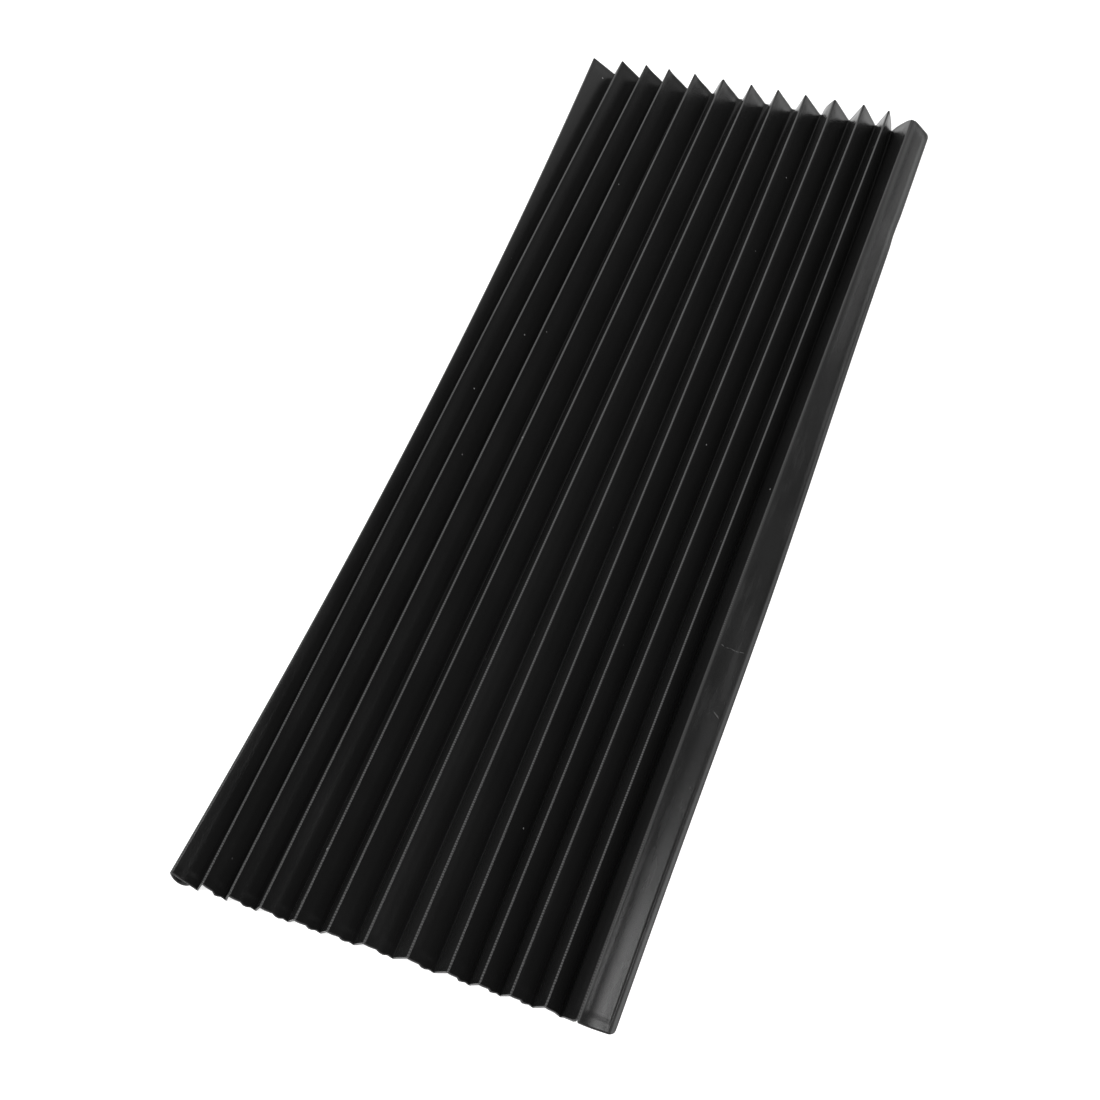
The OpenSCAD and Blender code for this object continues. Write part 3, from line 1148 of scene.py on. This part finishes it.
def crest_rub():
    """How much each place is rubbed: a bell over the flat distance to each crest, weaker towards the near
    end and lost at the far tips. The last crest is weaker all over instead."""
    is_last = np.arange(crest_count) == crest_count - 1
    across = bell(past_crests, RUB_WIDTH) * np.where(is_last, LAST_RUB, 1.0)
    near_loss = np.where(is_last, 0.0, NEAR_RUB_LOSS) * (1 - along[:, None]) ** 2
    kept = (1 - near_loss) * (1 - fade(from_far, TIP_REACH))[:, None]
    return (kept[:, None] * across).max(axis=2)


def painted_crease_and_tip_shade():
    """How much painted shade, with dullness, each place gets: a bell over the flat distance to the nearest
    valley fold, which fades out towards the far end, or a bell at the nearest crest, which is there only at
    the far tips."""
    # painted shade along the valley folds, and at the crests near the far end
    folds = np.concatenate([developed[front_fold_column], developed[back_fold_column]])
    to_fold = np.abs(flat_column[:, None] - folds).min(axis=1)
    painted_crease_shade = soft_step((CREASE_TO - rows) / CREASE_FADE)[:, None] * bell(to_fold, CREASE_WIDTH)
    to_crest = np.abs(past_crests).min(axis=1)
    tip = fade(from_far, TIP_REACH)[:, None] * bell(to_crest, TIP_WIDTH)
    return np.maximum(painted_crease_shade, tip)


# the second value is painted shade in the creases and at the far crest tips
wear_and_painted_light = {"rub": crest_rub(), "painted_crease_shade": painted_crease_and_tip_shade()}
print("mean wear:", {name: round(float(value.mean()), 3) for name, value in wear_and_painted_light.items()})

# %% Wear and painted light on the right flap
RIM_FROM = 1.45
RIM_SOFT = 0.5
RIM_EDGE = 0.4
FAR_RIM_LOSS = 0.5
SHOULDER_WEAR_AND_HIGHLIGHT = 0.6
SHOULDER_WEAR_AND_HIGHLIGHT_WIDTH = 0.4
HANDLED_SOFT = 1.0
# where the painted sheen lies across the right flap, and where it starts along the cover
PAINTED_SHEEN_PLACE = 1.8
PAINTED_SHEEN_WIDTH = 1.2
PAINTED_SHEEN_FROM = 20.0
past_last = flat_column - flap_start


def rim_wear_and_highlight_mask():
    """How much the borders of the right flap are worn and carry a painted highlight: its rim, a soft step
    past the strip times one at the cut edge, less towards the far end, or half a bell beside its crest."""
    to_edge = developed[-1] - flat_column
    rim = soft_step((RIM_FROM - to_edge) / RIM_SOFT) * soft_step(to_edge / RIM_EDGE)
    rim = rim * (1 - FAR_RIM_LOSS * along ** 2)[:, None]
    # rub and painted highlight beside the last crest
    shoulder = SHOULDER_WEAR_AND_HIGHLIGHT * bell(past_last, SHOULDER_WEAR_AND_HIGHLIGHT_WIDTH) * (past_last > 0)
    return np.maximum(rim, shoulder)


def flap_painted_sheen():
    """How much painted sheen each place gets: a bell across the left of the right flap, rising towards the
    far end."""
    rise = soft_step((rows - PAINTED_SHEEN_FROM) / (far_y - PAINTED_SHEEN_FROM))
    return rise[:, None] * bell(past_last - PAINTED_SHEEN_PLACE, PAINTED_SHEEN_WIDTH)


# wear and painted highlight along the rim and beside the last crest
wear_and_painted_light["rim"] = rim_wear_and_highlight_mask()
wear_and_painted_light["handled"] = soft_step(past_last / HANDLED_SOFT)
# painted sheen on the left of the right flap
wear_and_painted_light["painted_sheen"] = flap_painted_sheen()
print("wear values:", sorted(wear_and_painted_light))

# %% [markdown]
# ## The two cloths
#
# Both cloths are the same middle surface moved along its normals: the outer one up, past half the gap, and
# the lining down. They could be folded by a simulation, but then no pleat would lie where it lies in the
# picture. The cut edges get their own material.

# %% Build the cloths
OUTER_T = 0.22
LINING_T = 0.18


def cloth(name, inner, outer, materials):
    """A closed shell between two offsets from the middle surface, with its flat map, its wear and its
    painted light.
    """
    base = middle[:, columns]
    up = normal[:, columns]
    high = base + outer[:, columns, None] * up
    low = base + inner[:, columns, None] * up
    points = np.concatenate([high.reshape(-1, 3), low.reshape(-1, 3)])
    piece = mesh_object(name, points, cloth_faces, materials, cloth_walls)
    grid = base.shape[:2]
    add_uv(piece, both_sides(flat_column, grid), both_sides(rows[:, None], grid))
    for value_name, value in wear_and_painted_light.items():
        add_value(piece, value_name, both_sides(value, grid))
    print(name, len(cloth_faces) * 2, "triangles")
    return piece


outer_cloth = cloth("cloth_outer", half_gap, half_gap + OUTER_T, [coated, edge])
lining_cloth = cloth("cloth_lining", -half_gap - LINING_T, -half_gap, [lining, edge])
layers = ((outer_cloth, "outer_cloth", lining_cloth), (lining_cloth, "lining_cloth", "floor"))
for piece, node, under in layers:
    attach(piece, "root")
    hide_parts(node)

# %% [markdown]
# ## The stiff strips
#
# Each panel hides one strip, a plain plate of thin plastic that ends short of the cloth. A box would do for
# a straight panel, but here each strip is cut from the same middle surface, so it lies in its pocket
# wherever the pleat has strayed.

# %% Build the strips
STRIP_COLUMNS = 6
STRIP_ROWS = 40


def strip_plate(name, start, end):
    """A closed plate over the middle surface between two flat distances, half its thickness to each side,
    on the rows where the cloths stand fully apart."""
    wanted = np.linspace(start, end, STRIP_COLUMNS)
    across = np.abs(developed[:, None] - wanted).argmin(axis=0)
    fits = np.flatnonzero(along_strip == 1)
    length = fits[np.linspace(0, len(fits) - 1, STRIP_ROWS).astype(int)]
    base = middle[np.ix_(length, across)]
    lift = normal[np.ix_(length, across)] * STRIP_T / 2
    points = np.concatenate([(base + lift).reshape(-1, 3), (base - lift).reshape(-1, 3)])
    faces, _ = shell_faces(STRIP_ROWS, STRIP_COLUMNS)
    piece = mesh_object(name, points, faces, [plastic])
    grid = base.shape[:2]
    add_uv(piece, both_sides(developed[across], grid), both_sides(rows[length][:, None], grid))
    return piece


strip_names = ["left_flap_strip", *strip_nodes, "right_flap_strip"]
for node, start, end in zip(strip_names, strip_from + taper_from / 2, strip_to - taper_to / 2):
    plate = strip_plate(node.replace("strip", "stiffener"), start, end)
    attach(plate, "root")
    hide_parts(node)
print("strips:", len(strip_names))

# %% [markdown]
# ## Table and light
#
# The cover lies on a white table in a white surround: a bright sweep behind, lighter on the left, with a
# pale band along the horizon that is broken by a dim patch at the back right. The black coating mirrors all
# of this, so the surround shapes its panels. A picture of a studio could light it, but a few soft steps
# over the direction say the same. Three soft lamps help: one low on the right, a fill overhead towards the
# near end, and one at the near left. The table shows the camera a little light of its own, which dies out
# under the cover, so it reads as white while it still takes the shadow.

# %% White surround
SIDE_LEVEL = 0.4
BEHIND_Y = (0.56, 0.76)
LOW_Z = (0.3, 0.7)
LEFT_LIFT = 0.6
LEFT_X = (-0.9, -0.4)
RIGHT_X = (0.3, 0.6)
BACK_Y = (-0.3, 0.0)
HORIZON_SHARE = 0.28
DUSK_Z = (0.14, 0.5)
PALE_Z = (0.1, 0.35)


def white_world():
    """Brightness over direction: an even level, white behind the table and lighter on the left. A low band
    is pale, but dim at the back right. All borders are smooth steps."""
    world = bpy.data.worlds.new("white_surround")
    world.use_nodes = True
    tree = world.node_tree
    background = tree.nodes["Background"]
    background.inputs["Color"].default_value = grey(1.0)
    x, y, z = axes(tree, tree.nodes.new("ShaderNodeTexCoord").outputs["Generated"])
    white = maths(tree, "MULTIPLY", ranged(tree, y, *BEHIND_Y), ranged(tree, z, *LOW_Z, 1.0, 0.0))
    level = maths(tree, "MULTIPLY_ADD", white, 1.0 - SIDE_LEVEL, SIDE_LEVEL)
    level = maths(tree, "ADD", level, ranged(tree, x, *LEFT_X, LEFT_LIFT, 0.0))
    right = maths(tree, "MULTIPLY", ranged(tree, x, *RIGHT_X), ranged(tree, y, *BACK_Y))
    dusk = maths(tree, "MULTIPLY", ranged(tree, z, *DUSK_Z, 1.0 - HORIZON_SHARE, 0.0), right)
    level = maths(tree, "MULTIPLY", level, maths(tree, "SUBTRACT", 1.0, dusk))
    pale = maths(tree, "SUBTRACT", ranged(tree, z, *PALE_Z, 1.0, 0.0), right, clamp=True)
    level = maths(tree, "MAXIMUM", level, pale)
    tree.links.new(level, background.inputs["Strength"])
    return world


scene.world = white_world()
print("surround:", scene.world.name)

# %% White table
FLOOR_WHITE = 0.6
FLOOR_LIFT = 0.78
SHADE_DEPTH = 20 * MM
FLOOR_HALF = 6.0


def seen_directly(tree):
    """1 for rays that show the background as it is: from the camera, or through a mirror or glass."""
    path = tree.nodes.new("ShaderNodeLightPath")
    seen = maths(tree, "MAXIMUM", path.outputs["Is Camera Ray"], path.outputs["Is Glossy Ray"])
    return maths(tree, "MAXIMUM", seen, path.outputs["Is Transmission Ray"])


def white_floor():
    """A large square floor, white and matt, with a little light of its own where it is seen directly. That
    light dies out under the cover, where the table lies in the shade."""
    material, tree, shader = new_material("white_table", Roughness=0.9, Specular_IOR_Level=0.0)
    shader.inputs["Base Color"].default_value = grey(FLOOR_WHITE)
    shader.inputs["Emission Color"].default_value = grey(1.0)
    x, y, _ = object_place(tree)
    beside = ranged(tree, maths(tree, "ABSOLUTE", x), cad_high.x - SHADE_DEPTH, cad_high.x)
    beyond = ranged(tree, maths(tree, "ABSOLUTE", y), cad_high.y - SHADE_DEPTH, cad_high.y)
    lift = maths(tree, "MULTIPLY", maths(tree, "MAXIMUM", beside, beyond), FLOOR_LIFT)
    tree.links.new(maths(tree, "MULTIPLY", seen_directly(tree), lift), shader.inputs["Emission Strength"])
    corners = np.array([[-1, -1, 0], [1, -1, 0], [1, 1, 0], [-1, 1, 0]]) * FLOOR_HALF / MM
    return mesh_object("floor", corners, np.array([[0, 1, 2, 3]]), [material])


white_floor()
print("table:", 2 * FLOOR_HALF, "m wide")

# %% Soft lamps
LAMPS = (
    ("soft_lamp", (1.04, 0.12, 0.62), 0.26, 1.7),
    ("fill_lamp", (0.3, -0.25, 0.92), 0.4, 2.9),
    ("side_lamp", (-0.42, -0.5, 0.85), 0.4, 7.5),
)


def soft_lamp(name, place, size, watts):
    """A square soft lamp that faces the cover."""
    data = bpy.data.lights.new(name, "AREA")
    data.size = size
    data.energy = watts
    lamp = bpy.data.objects.new(name, data)
    lamp.matrix_world = Matrix.Translation(place) @ place.to_track_quat("Z", "Y").to_matrix().to_4x4()
    scene.collection.objects.link(lamp)


for name, place, size, watts in LAMPS:
    soft_lamp(name, Vector(place), size, watts)
print("lamps:", [lamp[0] for lamp in LAMPS])
